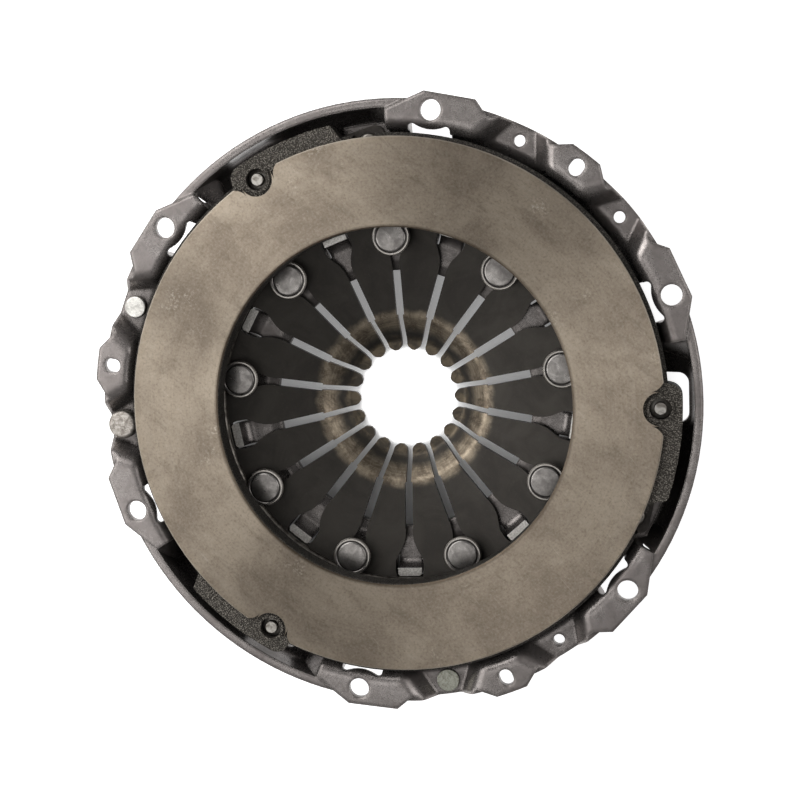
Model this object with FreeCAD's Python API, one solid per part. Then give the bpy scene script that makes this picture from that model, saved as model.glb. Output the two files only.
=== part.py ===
import FreeCAD, Part
import math
import os

Vector = FreeCAD.Vector

# Clutch cover assembly of the push type, for a dry plate clutch. All lengths are in millimetres.
# The axis of rotation is Z, with +Z towards the flywheel. The origin is on the axis, in the plane where
# the flange meets the flywheel. The model is in the free state, as the assembly is before it is bolted on.

# Pressed steel cover
sheet = 3.8                     # thickness of the pressed sheet
lip_width = 4.7                 # inner lip, which falls away from the floor towards the opening
lip_drop = 1.4                  # how far the lip falls by the edge of the opening
lip_bend = 4.2                  # outside radius of the fold between floor and lip
shoulder_inset = 2.5            # from the outer edge of the spring in to the outer edge of the flat floor
shoulder_height = 14.0          # rise of the sloping shoulder from the floor to the wall
bulge_floor_inset = 17.3        # from the wall of a bulge in to the outer edge of its floor
bulge_floor_rise = 0.5          # rise of a bulge's floor up to its outer edge
bulge_corner_rise = 8.0         # rise from the floor to the corner between bulge floor and wall
flange_bend = 6.0               # outside radius of the bend from wall to flange
press_radius = 8.0              # radius of the drawn corners
flange_sectors = 3              # flanges, dowels, lugs and drive straps come in threes
sector_pitch = 360.0 / flange_sectors
first_dowel_angle = 90.0
bulge_top_angle = 21.3          # half the angle of a bulge where its slanted ends reach the rim
bulge_foot_angle = 25.4         # half the angle of a bulge where its slanted ends leave the wall
bulge_end_slope = 25.0          # lean of the bulge's ends in degrees
bulge_end_bend = 6.0            # outside radius of the bend from flange to the bulge's ends
rim_drop = 1.5                  # sheared rim of a bulge below the flange

# Flange outline, as angles from a dowel hole, then holes and balance pockets
dowel_ear_end = 3.0             # corner of the ear round a dowel hole
dowel_ear_foot = 6.4            # foot of that ear
pocket_rim_kink = 13.0          # slight corner in the rim of a balance pocket
pocket_rim_end = 19.4
bolt_ear_start = 22.2           # corners of the ear round a bolt hole
bolt_ear_end = 31.6
flange_end = 38.7               # point where the flange has narrowed to nothing
flange_point_inset = 0.5        # that point inside the face of the bulge's wall
bolt_from_wall = 9.05           # from the inner face of the wall out to the bolt circle
bolt_hole_radius = 4.5
bolt_half_pitch = 30.0          # angle from a dowel hole to the bolt holes beside it
dowel_offset = 0.75             # from the bolt circle out to the middle of the dowel slots
dowel_slot_width = 6.1
dowel_slot_length = 7.5
slot_end_flat = 0.01            # half of the short flat between the two arcs of a slot's end
ear_margin = 7.75               # metal outside the bolt circle at the tips of the ears
pocket_margin = 4.6             # metal outside the balance holes along a pocket
pocket_angle = 12.4             # angle from a dowel hole to the middle of a balance pocket
pocket_depth = 9.0
pocket_splay = 26.0             # how far each side of a pocket fans out towards the wall, in degrees
pocket_floor_half = 7.4         # from a balance hole square to the crease at either side of its pocket
pocket_ramp = 6.0               # length of each ramp between flange and pocket floor
pocket_bend = 7.0               # outside radius of the bend from flange to ramp
pocket_crease = 1.2             # radius of the crease between ramp and pocket floor
balance_from_wall = 6.8         # from the inner face of the wall out to the balance holes
balance_hole_radius = 2.5
bolt_window_width = 18.4        # opening in the wall behind each bolt hole, clears the bolt head
bolt_head_clearance = 8.2       # distance from the bolt's axis to the nearest edge of that opening
bolt_window_bow = 4.2           # how far that edge bows towards the axis between its two ends
bolt_window_arc = 14.0          # radius of the bow
bolt_window_corner = 1.8
bolt_window_depth = 19.0        # how far below the flange the opening reaches
rivet_window_length = 22.0      # opening in the floor under each lug rivet, for the riveting tool
rivet_window_inset = 9.2        # from the lug rivet in to the edge of its opening
rivet_window_edge = 2.2         # metal between that opening and the wall of the bulge
rivet_window_corner = 4.5
rivet_window_turn = 0.9         # angle from the lug rivet on to the middle of its opening

# Strap seats, pressed up from the floor of each bulge
seat_lead = 8.0                 # angle from the strap rivet back to the start of its seat
seat_trail = 5.2                # angle from the strap rivet on to the end of its seat
seat_inner_margin = 2.7         # seat inside the edge of its strap
seat_outer_margin = 1.8         # seat outside the edge of its strap

# Pressure plate casting
face_height = 5.2               # friction face above the flange plane, in the free state
face_outer_radius = 117.0
face_inner_radius = 78.4
plate_thickness = 12.2          # friction face to the back of the casting
cast_lip = 1.6                  # unmachined rim outside the friction face
cast_rim_drop = 3.2
cast_rim_slope = 0.8            # fall of that rim towards its edge
cast_back_chamfer = 1.0         # at the inner edge of the casting's back
cast_edge_radius = 2.4          # rounding of the casting's back edge
face_chamfer = 0.6
ridge_radius = 97.5             # circle where the casting bears on the diaphragm spring
ridge_width = 6.4
ridge_tip_radius = 1.6
ridge_tip_rise = 0.6            # outer corner of the ridge's tip above the inner one
ridge_flank = 1.0               # spread of each side of the ridge towards its foot
ridge_gaps = 9
ridge_gap_width = 11.0
lug_margin = 9.3                # from the lug rivet out to the end of the lug
lug_drop = 2.0                  # top of a lug below the friction face
lug_thickness = 10.7
lug_lead = 20.4                 # angle from the lug rivet back to the slanted end of the lug
lug_trail = 5.2                 # angle from the lug rivet on to the rounded end of the lug
lug_lead_slant = 3.2            # angle by which the leading end leans back beyond the lug's end
lug_trail_slant = 1.6           # angle by which the trailing end leans in there
lug_trail_foot = 0.5            # angle by which the foot of the trailing end stands out
lug_foot_inset = 1.5            # foot of the leading end inside the casting's rim
lug_root = 20.0                 # how far a lug runs into the ring, from its inner edge out
lug_overrun = 6.0               # drawn beyond the lug's end before that is turned
lug_slant_corner = 2.0
lug_round_corner = 6.0
recess_radius = 7.3             # hollow in the friction face round each lug rivet
recess_neck_inset = 1.6         # from the rivet's axis in to where the hollow starts to widen
recess_neck_bend = 6.0
recess_flat = 0.1               # half of the short flat at the hollow's inner end
recess_rim_margin = 0.4         # where the hollow stops widening, outside the friction face
recess_flare = 12.6             # half the width of the hollow at the rim
recess_rim_corner = 1.2
counterbore_radius = 4.7
counterbore_depth = 4.6
boss_width = 1.2
boss_height = 0.7
boss_root = 0.5                 # how far the boss runs into the lug
relief_radius = 5.7             # pocket in the casting over the head of each cover strap rivet
relief_room = 4.2               # free height over that head, more than the travel

# Drive straps and their rivets
strap_gap = 8.2                 # between the outer edge of the spring and the straps
lug_rivet_angle = 38.24
strap_span = 25.0               # angle between the two rivets of a strap
strap_leaves = 3
leaf_thickness = 0.8
leaf_width = 13.0
leaf_end = 7.4                  # leaf beyond the rivet's axis
leaf_corner = 4.0
leaf_rise = 3.0                 # free-state offset of a strap between its two ends
leaf_bend = 12.0
leaf_flat_margin = 2.0          # flat end of a leaf, longer inwards than outwards
strap_shank_radius = 2.9
strap_head_radius = 4.3
strap_head_height = 2.3
strap_head_round = 1.4
strap_tail_radius = 4.4
strap_tail_height = 1.6
cover_tail_round = 1.0          # rounding of a strap rivet's tail behind the cover
lug_tail_round = 0.8            # rounding of a strap rivet's tail behind the straps at the lug
collar_height = 1.2             # upset collar of a lug rivet at the bottom of its counterbore
collar_slope = 0.4              # rise from that collar to the shank
lug_rivet_chamfer = 0.4
lug_rivet_stand = 2.4           # end of the lug rivet below the friction face

# Diaphragm spring
spring_thickness = 2.4
spring_overhang = 3.0           # spring outside the circle where the casting bears on it
spring_inner_radius = 22.0
spring_cone = 12.0              # slope of the free spring in degrees
fingers = 18
first_slot_angle = 10.0
knee_radius = 37.6              # where the fingers bend down to the release bearing
knee_end_radius = 27.2
knee_drop = 7.8                 # drop of the fingers between the two bends
tip_drop = 0.4
knee_bend = 5.0
tip_corner = 1.6                # cut off each corner of a finger tip
tip_flare = 8.5                 # reach of that cut into the opening
tip_round = 2.6
slot_width = 2.4
wide_slot_width = 3.6
slot_step_radius = 38.4
slot_neck_inset = 15.0          # from the rivet circle in to where the finger slot opens into the window
neck_width = 3.0
neck_run = 6.5                  # length of the neck before it opens into the window
neck_flare = 0.5                # half the widening along the neck
neck_bend = 14.0
window_width = 13.2
window_shoulder = 0.6           # from the rivet circle out to the window's inner radius
window_heel = 2.0               # inner end of the window's widest part, inside its inner radius
window_heel_inset = 0.3         # narrowing of each side there
window_side = 2.6               # from the window's inner radius out to where it is widest
window_end_inset = 0.9          # narrowing of each side at the outer end
window_bend = 2.2               # radius of the corners along the sides
window_inset = 1.0              # from the fulcrum circle in to the outer end of the window
window_corner = 1.8

# Fulcrum rings and rivets
fulcrum_lever = 15.5            # from the fulcrum circle out to where the casting bears on the spring
fulcrum_height = -20.0          # middle of the spring at the fulcrum, from the flange plane
wire_diameter = 3.4
fulcrum_rivets = 9
first_rivet_angle = 90.0
rivet_inset = 8.0               # from the fulcrum circle in to the rivet circle
lip_inset = 10.7                # from the rivet circle in to the fold of the cover's inner lip
rivet_head_radius = 8.5
rivet_head_edge = 1.2
rivet_head_crown = 1.1
rivet_lip_round = 0.5           # softened outer edge of a head
rivet_lip_width = 1.2           # flat lip round the dome, inside a shallow groove
rivet_groove_width = 0.4
rivet_groove_depth = 0.25
rivet_shoulder_radius = 4.2
rivet_shank_radius = 3.2
rivet_tail_radius = 5.6
rivet_tail_height = 1.7
rivet_tail_taper = 1.6          # narrowing of a tail towards its end
rivet_tail_round = 1.0
rivet_dome_bend = 1.0           # radius where the dome starts
rivet_dome_share = 0.7          # share of the crown that the dome has reached there
floor_drop = 1.5                # floor of the cover behind the bead that carries the rear ring
bead_width = 3.2
tab_width = 10.9
tab_thickness = 3.7
tab_inset = 5.45                # from the fulcrum circle in to the inner face of the tabs
tab_top_drop = 0.2              # end of each tab below the middle of the spring at the fulcrum
tab_bend = 5.0
tab_corner = 1.4
tab_root = 1.5                  # how far a tab's foot runs into the floor, inside its bend
tab_hole_reach = 3.6            # from the fulcrum circle out to the end of the hole that a tab leaves
tab_hole_margin = 1.0           # that hole beyond each side of its tab
tab_hole_corner = 1.5
bead_root = 1.0                 # how far the bead runs into the floor

# Clearances
wall_gap = 1.2                  # between the casting's rim and the wall of the cover
lug_gap = 4.8                   # between the ends of the lugs and the wall of a bulge
seat_gap = 0.02                 # between pieces that touch inside one body
running_gap = 0.3               # between the casting and what it touches
shank_gap = 0.15                # round a shank in its hole
leaf_hole_gap = 0.1

# Balance rivets, each with its name, angle of the dowel hole, side of it, head radius and head height
balance_angle = 12.25           # angle from a dowel hole to the balance holes beside it
balance_foot_radius = 4.2       # foot of a balance rivet's head, on the flat of the pocket floor
balance_tail_swell = 1.3        # how far the tail of a balance rivet spreads round its hole, at most
balance_tail_height = 1.8
balance_tail_round = 0.9
balance_swell = 0.35            # share of the head's height where it is widest
balance_crown = 0.3             # share of the head's height that its top edge is rounded by
balance_rivets = [
    ("balance_rivet_flat", 210.0, -1.0, 5.0, 2.6),
    ("balance_rivet_large", 210.0, 1.0, 6.5, 5.6),
    ("balance_rivet_small", 330.0, -1.0, 5.1, 1.4),
]

# Radii that follow, from the friction face outwards and from the ridge inwards
cast_rim_radius = face_outer_radius + cast_lip
wall_radius = cast_rim_radius + wall_gap
bolt_circle_radius = wall_radius + bolt_from_wall
dowel_circle_radius = bolt_circle_radius + dowel_offset
ear_radius = bolt_circle_radius + ear_margin
balance_circle_radius = wall_radius + balance_from_wall
pocket_rim_radius = balance_circle_radius + pocket_margin
spring_outer_radius = ridge_radius + spring_overhang
shoulder_radius = spring_outer_radius - shoulder_inset
strap_circle_radius = spring_outer_radius + strap_gap + leaf_width / 2
seat_inner_radius = strap_circle_radius - leaf_width / 2 - seat_inner_margin
seat_outer_radius = strap_circle_radius + leaf_width / 2 + seat_outer_margin
lug_radius = strap_circle_radius + lug_margin
rim_radius = lug_radius + lug_gap
bulge_floor_radius = rim_radius - bulge_floor_inset
rivet_window_inner_radius = strap_circle_radius - rivet_window_inset
rivet_window_outer_radius = rim_radius - rivet_window_edge
fulcrum_radius = ridge_radius - fulcrum_lever
window_outer_radius = fulcrum_radius - window_inset
tab_inner_radius = fulcrum_radius - tab_inset
tab_hole_outer_radius = fulcrum_radius + tab_hole_reach
rivet_circle_radius = fulcrum_radius - rivet_inset
window_inner_radius = rivet_circle_radius + window_shoulder
slot_neck_radius = rivet_circle_radius - slot_neck_inset
lip_fold_radius = rivet_circle_radius - lip_inset
cover_bore_radius = lip_fold_radius - lip_width

# Other sizes that follow
dowel_angles = [first_dowel_angle + i * sector_pitch for i in range(flange_sectors)]
lug_angles = [lug_rivet_angle + i * sector_pitch for i in range(flange_sectors)]
strap_foot_angles = [a - strap_span for a in lug_angles]
balance_angles = [d + s * balance_angle for d in dowel_angles for s in (-1, 1)]
pocket_angles = [d + s * pocket_angle for d in dowel_angles for s in (-1, 1)]
bulge_angles = [d - sector_pitch / 2 for d in dowel_angles]
bolt_angles = [d + s * bolt_half_pitch for d in dowel_angles for s in (-1, 1)]
rivet_angles = [first_rivet_angle + i * 360.0 / fulcrum_rivets for i in range(fulcrum_rivets)]
tab_angles = [a + 180.0 / fulcrum_rivets for a in rivet_angles]
slot_angles = [first_slot_angle + i * 360.0 / fingers for i in range(fingers)]
cone_tan = math.tan(math.radians(spring_cone))
cone_cos = math.cos(math.radians(spring_cone))
wire_radius = wire_diameter / 2
ring_offset = (spring_thickness / 2 + wire_radius + seat_gap) / cone_cos
front_ring_height = fulcrum_height + ring_offset
rear_ring_height = fulcrum_height - ring_offset
bead_top = rear_ring_height - wire_radius - seat_gap
floor_top = bead_top - floor_drop
head_seat = front_ring_height + wire_radius + seat_gap
plate_back = face_height - plate_thickness
lug_top = face_height - lug_drop
lug_bottom = lug_top - lug_thickness
strap_pack = strap_leaves * leaf_thickness
leaf_top_at_lug = lug_bottom - seat_gap
leaf_top_at_cover = leaf_top_at_lug - leaf_rise
seat_top = leaf_top_at_cover - strap_pack - seat_gap
balance_tail_room = balance_circle_radius - wall_radius - sheet - leaf_hole_gap
balance_tail_radius = min(balance_hole_radius + balance_tail_swell, balance_tail_room)
above = 20.0                    # level over everything, where cutting shapes end
below = -60.0                   # level under everything
reach = 60.0                    # length of cutting shapes beyond what they cut
overrun = 8.0                   # length of a section line beyond the edge that it is cut at
least_bend = 20.0               # smallest corner in degrees that counts as an edge to bend


def polar(radius, angle, height=0.0):
    """Point at a radius and an angle in degrees."""
    a = math.radians(angle)
    return Vector(radius * math.cos(a), radius * math.sin(a), height)


def turned(shape, angle):
    """Copy of a shape turned about the axis."""
    copy = shape.copy()
    copy.rotate(Vector(0, 0, 0), Vector(0, 0, 1), angle)
    return copy


def pattern(shape, angles):
    """Copies of a shape drawn at angle 0, one at each angle."""
    return [turned(shape, a) for a in angles]


def outline(corners, place):
    """Closed wire through corners (a, b) or (a, b, radius); a radius rounds that corner with an arc."""
    points = [Vector(c[0], c[1], 0) for c in corners]
    radii = [c[2] if len(c) > 2 else 0.0 for c in corners]
    count = len(points)
    starts, ends, middles = [], [], []
    for i, point in enumerate(points):
        before = (points[i - 1] - point).normalize()
        after = (points[(i + 1) % count] - point).normalize()
        angle = before.getAngle(after)
        if radii[i] == 0.0:
            starts.append(point)
            ends.append(point)
            middles.append(None)
            continue
        length = radii[i] / math.tan(angle / 2)
        starts.append(point + before * length)
        ends.append(point + after * length)
        centre = point + (before + after).normalize() * (radii[i] / math.sin(angle / 2))
        middles.append(centre + (point - centre).normalize() * radii[i])
    edges = []
    for i in range(count):
        if middles[i] is not None:
            edges.append(Part.Arc(place(starts[i]), place(middles[i]), place(ends[i])).toShape())
        following = starts[(i + 1) % count]
        if ends[i].distanceToPoint(following) > 1e-6:
            edges.append(Part.LineSegment(place(ends[i]), place(following)).toShape())
    return Part.Wire(edges)


def meridian(corners):
    """Face in the plane of the axis, from corners (radius, height)."""
    return Part.Face(outline(corners, lambda p: Vector(p.x, 0, p.y)))


def revolved(corners, middle=0.0, half_angle=180.0):
    """Solid of revolution from corners (radius, height), over all or part of a turn."""
    solid = meridian(corners).revolve(Vector(0, 0, 0), Vector(0, 0, 1), 2 * half_angle)
    return turned(solid, middle - half_angle)


def prism(corners, bottom, top):
    """Upright prism from corners (x, y)."""
    face = Part.Face(outline(corners, lambda p: Vector(p.x, p.y, bottom)))
    return face.extrude(Vector(0, 0, top - bottom))


def across(corners, inner, outer):
    """Prism along +X between two radii, from corners (y, height)."""
    face = Part.Face(outline(corners, lambda p: Vector(inner, p.x, p.y)))
    return face.extrude(Vector(outer - inner, 0, 0))


def along(corners, half_width):
    """Prism across the X axis, from corners (radius, height)."""
    face = Part.Face(outline(corners, lambda p: Vector(p.x, -half_width, p.y)))
    return face.extrude(Vector(0, 2 * half_width, 0))


def drum(radius, bottom, top, centre=Vector(0, 0, 0)):
    """Upright cylinder."""
    return Part.makeCylinder(radius, top - bottom, Vector(centre.x, centre.y, bottom))


def parallel(line, distance):
    """Open line moved to its right by a distance; each rounded corner keeps its centre."""
    points = [Vector(p[0], p[1], 0) for p in line]
    radii = [p[2] if len(p) > 2 else 0.0 for p in line]
    normals = []
    for a, b in zip(points, points[1:]):
        d = (b - a).normalize()
        normals.append(Vector(d.y, -d.x, 0))
    moved = [points[0] + normals[0] * distance]
    for i in range(1, len(points) - 1):
        bisector = normals[i - 1] + normals[i]
        moved.append(points[i] + bisector * (2 * distance / bisector.Length ** 2))
    moved.append(points[-1] + normals[-1] * distance)
    result = []
    for i, p in enumerate(moved):
        radius = radii[i]
        if radius:
            turn = normals[i - 1].x * normals[i].y - normals[i - 1].y * normals[i].x
            radius += distance if turn > 0 else -distance
        result.append((p.x, p.y, radius))
    return result


def fuse(shapes):
    """One shape from several that touch."""
    return shapes[0].multiFuse(shapes[1:]) if len(shapes) > 1 else shapes[0]


def one_solid(shape, name):
    """The only solid of a shape, with split faces joined."""
    clean = shape.removeSplitter()
    if len(clean.Solids) != 1:
        raise ValueError("%s has %d solids" % (name, len(clean.Solids)))
    return clean.Solids[0]


def dish(line):
    """Closed meridian corners of the space above an open sheet line."""
    return line + [(line[-1][0], above), (line[0][0], above)]


def floor_line():
    """Front face of the sheet from inside the cover's opening to the start of the shoulder."""
    inside = cover_bore_radius - overrun
    slope = lip_drop / (lip_fold_radius - cover_bore_radius)
    start = (inside, floor_top - slope * (lip_fold_radius - inside))
    return [start, (lip_fold_radius, floor_top, lip_bend), (shoulder_radius, floor_top, press_radius)]


def flange_line():
    """Front face of the sheet through the shoulder, the wall and the flange."""
    beyond = ear_radius + overrun
    wall_foot = (wall_radius, floor_top + shoulder_height, press_radius)
    return floor_line() + [wall_foot, (wall_radius, 0.0), (beyond, 0.0)]


def bulge_line():
    """Front face of the sheet through a bulge; its wall runs straight up to the rim."""
    floor_edge = (bulge_floor_radius, floor_top + bulge_floor_rise, press_radius)
    wall_foot = (rim_radius, floor_top + bulge_corner_rise, press_radius)
    return floor_line()[:2] + [floor_edge, wall_foot, (rim_radius, above - 1.0)]


def pocket_line():
    """Front face of the sheet from the floor of a pocket up one of its ramps, square to that ramp."""
    edge = pocket_floor_half + pocket_ramp
    return [(-reach, -pocket_depth), (pocket_floor_half, -pocket_depth, pocket_crease),
            (edge, 0.0, pocket_bend), (edge + reach, 0.0)]


def bulge_end_line():
    """Front face of the sheet over the slanted end of a bulge, square to it; the flange edge is at 0."""
    foot = below * math.tan(math.radians(bulge_end_slope))
    return [(foot - reach, below), (foot, below), (0.0, 0.0, bulge_end_bend), (reach, 0.0)]


def sided(line, point, heading):
    """Space above a line that runs along a heading through a point, where its mirror image is space too."""
    side = across(dish(line), -reach, reach)
    side.rotate(Vector(0, 0, 0), Vector(0, 0, 1), heading)
    side.translate(point)
    return side.common(side.mirror(Vector(0, 0, 0), Vector(0, 1, 0)))


def pocket_space(line):
    """Space of a balance pocket at angle 0; its two sides fan out towards the wall."""
    return sided(line, polar(balance_circle_radius, 0), -pocket_splay)


def bulge_space(line, end_line, half_angle):
    """Space of a bulge at angle 0 between its two slanted ends."""
    foot = polar(wall_radius, bulge_foot_angle)
    top = polar(rim_radius, bulge_top_angle)
    heading = math.degrees(math.atan2(top.y - foot.y, top.x - foot.x))
    return revolved(dish(line), 0.0, half_angle).common(sided(end_line, top, heading))


def bent_wall(space, radius, bend):
    """Space with the edge round the top of its wall, down and up through the pockets, bent to a radius."""
    near = press_radius / 4
    edges = [e for e in space.Edges if abs(mid_radius(e) - radius) < near]
    return space.makeFillet(bend, [e for e in edges if corner_angle(space, e) > least_bend])


def middle_of(edge):
    """Point half way along an edge."""
    return edge.valueAt((edge.FirstParameter + edge.LastParameter) / 2)


def mid_radius(edge):
    """Distance from the axis to the middle of an edge."""
    point = middle_of(edge)
    return math.hypot(point.x, point.y)


def corner_angle(shape, edge):
    """Angle in degrees between the two faces that meet at the middle of an edge."""
    point = middle_of(edge)
    faces = shape.ancestorsOfType(edge, Part.Face)
    normals = [face.normalAt(*face.Surface.parameter(point)) for face in faces]
    return math.degrees(normals[0].getAngle(normals[-1]))


def strap_seat(lug_angle, inset):
    """Block whose top carries a strap end; an inset gives the hollow behind it."""
    rivet = lug_angle - strap_span
    inset_angle = math.degrees(inset / strap_circle_radius)
    start = rivet - seat_lead + inset_angle
    end = rivet + seat_trail - inset_angle
    inner = seat_inner_radius + inset
    outer = seat_outer_radius - inset
    corners = [(inner, below), (inner, seat_top - inset), (outer, seat_top - inset), (outer, below)]
    return revolved(corners, (start + end) / 2, (end - start) / 2)


def flange_plan():
    """Outline of the flange, seen along the axis; across a bulge it runs just inside the wall."""
    point = rim_radius - flange_point_inset
    half = [(0.0, ear_radius), (dowel_ear_end, ear_radius), (dowel_ear_foot, pocket_rim_radius),
            (pocket_rim_kink, pocket_rim_radius), (pocket_rim_end, pocket_rim_radius),
            (bolt_ear_start, ear_radius), (bolt_ear_end, ear_radius), (flange_end, point)]
    edges = []
    for dowel in dowel_angles:
        offsets = [(-a, r) for a, r in reversed(half)] + half[1:]
        points = [polar(r, dowel + a) for a, r in offsets]
        for a, b in zip(points, points[1:]):
            edges.append(Part.LineSegment(a, b).toShape())
        last = dowel + half[-1][0]
        following = dowel + sector_pitch - half[-1][0]
        arc = Part.Arc(polar(point, last), polar(point, (last + following) / 2), polar(point, following))
        edges.append(arc.toShape())
    return Part.Wire(edges)


def dished(line, pocket, bulge, bulge_end, wall, inset):
    """Space in front of one face of the sheet: round dish, pockets and bulges, less the strap seats."""
    space = fuse([revolved(dish(line))] + pattern(pocket_space(pocket), pocket_angles))
    space = bent_wall(space.removeSplitter(), wall, flange_bend - inset)
    half_angle = bulge_foot_angle + math.degrees(inset / rim_radius)
    space = fuse([space] + pattern(bulge_space(bulge, bulge_end, half_angle), bulge_angles))
    return space.cut(fuse([strap_seat(a, inset) for a in lug_angles]))


def cover():
    """Pressed cover: sheet between a front dish and the same dish one sheet thickness further back."""
    lines = [flange_line(), pocket_line(), bulge_line(), bulge_end_line()]
    front = dished(*lines, wall_radius, 0.0)
    back = dished(*[parallel(line, sheet) for line in lines], wall_radius + sheet, sheet)
    flange = Part.Face(flange_plan()).extrude(Vector(0, 0, -below))
    flange.translate(Vector(0, 0, below))
    rim = drum(rim_radius + sheet, below, -rim_drop)
    shell = back.cut(front).common(flange.fuse(rim))
    shell = shell.cut(fuse(cover_openings()))
    shell = fuse([shell, bead()] + tabs())
    return one_solid(shell.cut(fuse(cover_holes())), "cover")


def bead():
    """Raised ring on the floor that the rear fulcrum ring lies on, cut away where a tab is folded up."""
    half = bead_width / 2
    foot = half + floor_drop
    root = floor_top - bead_root
    ring = revolved([(fulcrum_radius - foot, root), (fulcrum_radius - foot, floor_top),
                     (fulcrum_radius - half, bead_top), (fulcrum_radius + half, bead_top),
                     (fulcrum_radius + foot, floor_top), (fulcrum_radius + foot, root)])
    return ring.cut(fuse(pattern(tab_hole(), tab_angles)))


def tab_hole():
    """Opening that is left in the floor outside a tab."""
    half = tab_width / 2 + tab_hole_margin
    inner = tab_inner_radius - tab_bend
    outer = tab_hole_outer_radius
    corner = tab_hole_corner
    return prism([(inner, -half), (outer, -half, corner), (outer, half, corner), (inner, half)], below, above)


def tabs():
    """Tongues folded up from the floor, with their ends in the windows of the spring."""
    outer = tab_inner_radius + tab_thickness
    top = fulcrum_height - tab_top_drop
    root = tab_inner_radius - tab_bend - tab_root
    foot = floor_top - tab_thickness
    profile = [(root, foot), (outer, foot, tab_bend + tab_thickness), (outer, top), (tab_inner_radius, top),
               (tab_inner_radius, floor_top, tab_bend), (root, floor_top)]
    half = tab_width / 2
    corner = tab_corner
    plan = prism([(root, -half), (outer, -half, corner), (outer, half, corner), (root, half)], below, above)
    return pattern(along(profile, half).common(plan), tab_angles)


def cover_openings():
    """Openings that go right through the sheet before the bead and tabs are added."""
    cuts = [drum(cover_bore_radius, below, above)]
    cuts += pattern(tab_hole(), tab_angles)
    cuts += pattern(bolt_window(), bolt_angles)
    half = rivet_window_length / 2
    corner = rivet_window_corner
    window = prism([(rivet_window_inner_radius, -half, corner), (rivet_window_outer_radius, -half, corner),
                    (rivet_window_outer_radius, half, corner), (rivet_window_inner_radius, half, corner)],
                   below, seat_top)
    cuts += pattern(window, [a + rivet_window_turn for a in lug_angles])
    return cuts


def bolt_window():
    """Opening in the wall behind a bolt hole, with a flange edge that follows the bolt head."""
    half = bolt_window_width / 2
    inner = shoulder_radius
    through = wall_radius + 1.5 * sheet
    wall_cut = prism([(inner, -half), (through, -half), (through, half), (inner, half)],
                     -bolt_window_depth, -sheet)
    lean = math.atan(bolt_window_bow / half)
    peak = bolt_circle_radius - bolt_head_clearance - bolt_window_arc * (1 / math.cos(lean) - 1)
    ends = peak + bolt_window_bow
    edge_cut = prism([(inner, -half), (ends, -half, bolt_window_corner), (peak, 0.0, bolt_window_arc),
                      (ends, half, bolt_window_corner), (inner, half)], -sheet, above)
    return wall_cut.fuse(edge_cut)


def cover_holes():
    """Round and slotted holes of the cover."""
    bolt = drum(bolt_hole_radius, below, above, polar(bolt_circle_radius, 0))
    half = dowel_slot_width / 2
    corner = half - slot_end_flat
    inner = dowel_circle_radius - dowel_slot_length / 2
    outer = dowel_circle_radius + dowel_slot_length / 2
    dowel = prism([(inner, -half, corner), (outer, -half, corner),
                   (outer, half, corner), (inner, half, corner)], below, above)
    balance = drum(balance_hole_radius, below, above, polar(balance_circle_radius, 0))
    fulcrum = drum(rivet_shank_radius + seat_gap, below, above, polar(rivet_circle_radius, 0))
    strap = drum(strap_shank_radius + seat_gap, below, above, polar(strap_circle_radius, 0))
    holes = pattern(bolt, bolt_angles) + pattern(dowel, dowel_angles)
    holes += pattern(balance, balance_angles)
    holes += pattern(fulcrum, rivet_angles)
    holes += pattern(strap, strap_foot_angles)
    return holes


def lug():
    """Lug drawn with its rivet at angle 0: slanted at its leading end, rounded at its trailing end."""
    inner = face_inner_radius + lug_root
    beyond = lug_radius + lug_overrun
    corners = [polar(inner, -lug_lead), polar(cast_rim_radius - lug_foot_inset, -lug_lead),
               polar(beyond, lug_lead_slant - lug_lead), polar(beyond, lug_trail - lug_trail_slant),
               polar(cast_rim_radius - 2 * lug_foot_inset, lug_trail + lug_trail_foot),
               polar(inner, lug_trail)]
    block = prism([(c.x, c.y) for c in corners], lug_bottom, lug_top).common(drum(lug_radius, below, above))
    for trailing, radius in ((False, lug_slant_corner), (True, lug_round_corner)):
        block = block.makeFillet(radius, [e for e in block.Edges if is_lug_corner(e, trailing)])
    return block


def is_lug_corner(edge, trailing):
    """True for the upright edge at the leading or trailing outer corner of a lug drawn at angle 0."""
    first, last = edge.Vertexes[0].Point, edge.Vertexes[-1].Point
    upright = abs(first.x - last.x) + abs(first.y - last.y) < 1e-6
    outer = abs(math.hypot(first.x, first.y) - lug_radius) < 1e-4
    return upright and outer and (first.y > -lug_radius * 0.2) == trailing


def lug_recess():
    """Hollow in the friction face round a lug rivet, open to the rim, drawn at angle 0."""
    r = recess_radius
    inner = strap_circle_radius - r
    neck = strap_circle_radius - recess_neck_inset
    rim = face_outer_radius + recess_rim_margin
    half = [(lug_radius + lug_overrun, recess_flare), (rim, recess_flare, recess_rim_corner),
            (neck, r, recess_neck_bend), (inner, r, r - recess_flat)]
    return prism([(x, -y, *corner) for x, y, *corner in half] + half[::-1], lug_top, above)


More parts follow.
